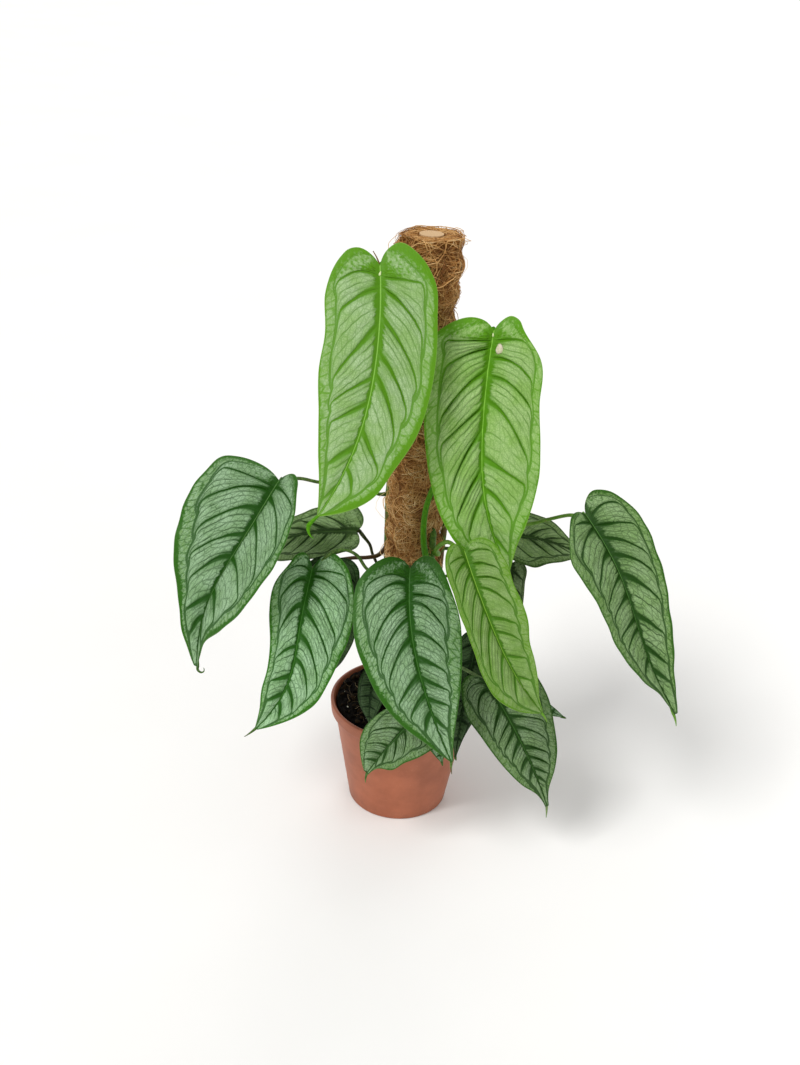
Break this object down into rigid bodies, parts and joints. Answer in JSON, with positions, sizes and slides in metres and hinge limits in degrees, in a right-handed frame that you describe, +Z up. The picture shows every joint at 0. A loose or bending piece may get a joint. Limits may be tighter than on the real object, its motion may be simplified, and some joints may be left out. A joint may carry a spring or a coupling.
{
  "type": "potted climbing house plant on a coir pole",
  "caption": "Climbing aroid with pointed heart-shaped silvery leaves on a coir-wrapped pole, rooted in soil in a round tapered nursery pot.",
  "frame": {"origin": "centre of the pot's flat underside, on the surface that it stands on", "axes": "+Z up the pole; -Y towards the side that the leaves face; +X to the right seen from there"},
  "size_m": [0.4832, 0.2668, 0.612],
  "materials": {
    "terracotta_plastic": "matte moulded plastic, terracotta brown",
    "peat": "dark crumbly peat mix with white specks",
    "coir": "matted brown coconut fibre",
    "pale_wood": "plain pale wood",
    "stem": "smooth green stem, satin",
    "leaf_young": "light yellow-green leaf, satin, silvery between green veins",
    "leaf_grown": "silvery blue-green leaf with dark feathered veins, satin",
    "leaf_shaded": "dark green leaf, satin"
  },
  "bodies": {
    "root": {"pot": "terracotta_plastic", "soil": "peat", "pole_core": "pale_wood", "pole_coir": "coir", "vine_front": "stem", "vine_left": "stem", "vine_right": "stem", "leaf_top_left": "leaf_young", "leaf_top_right": "leaf_young", "leaf_left": "leaf_grown", "leaf_right": "leaf_grown", "leaf_young_low": "leaf_young", "leaf_centre": "leaf_grown", "leaf_centre_left": "leaf_grown", "leaf_back_left": "leaf_shaded", "leaf_back_right": "leaf_shaded", "leaf_low_right": "leaf_grown", "leaf_small_front": "leaf_grown", "leaf_small_soil": "leaf_shaded", "leaf_shaded_left": "leaf_shaded", "leaf_shaded_right": "leaf_shaded", "leaf_low_back_right": "leaf_grown", "leaf_low_dark_right": "leaf_shaded", "leaf_small_low": "leaf_grown"}
  },
  "joints": []
}
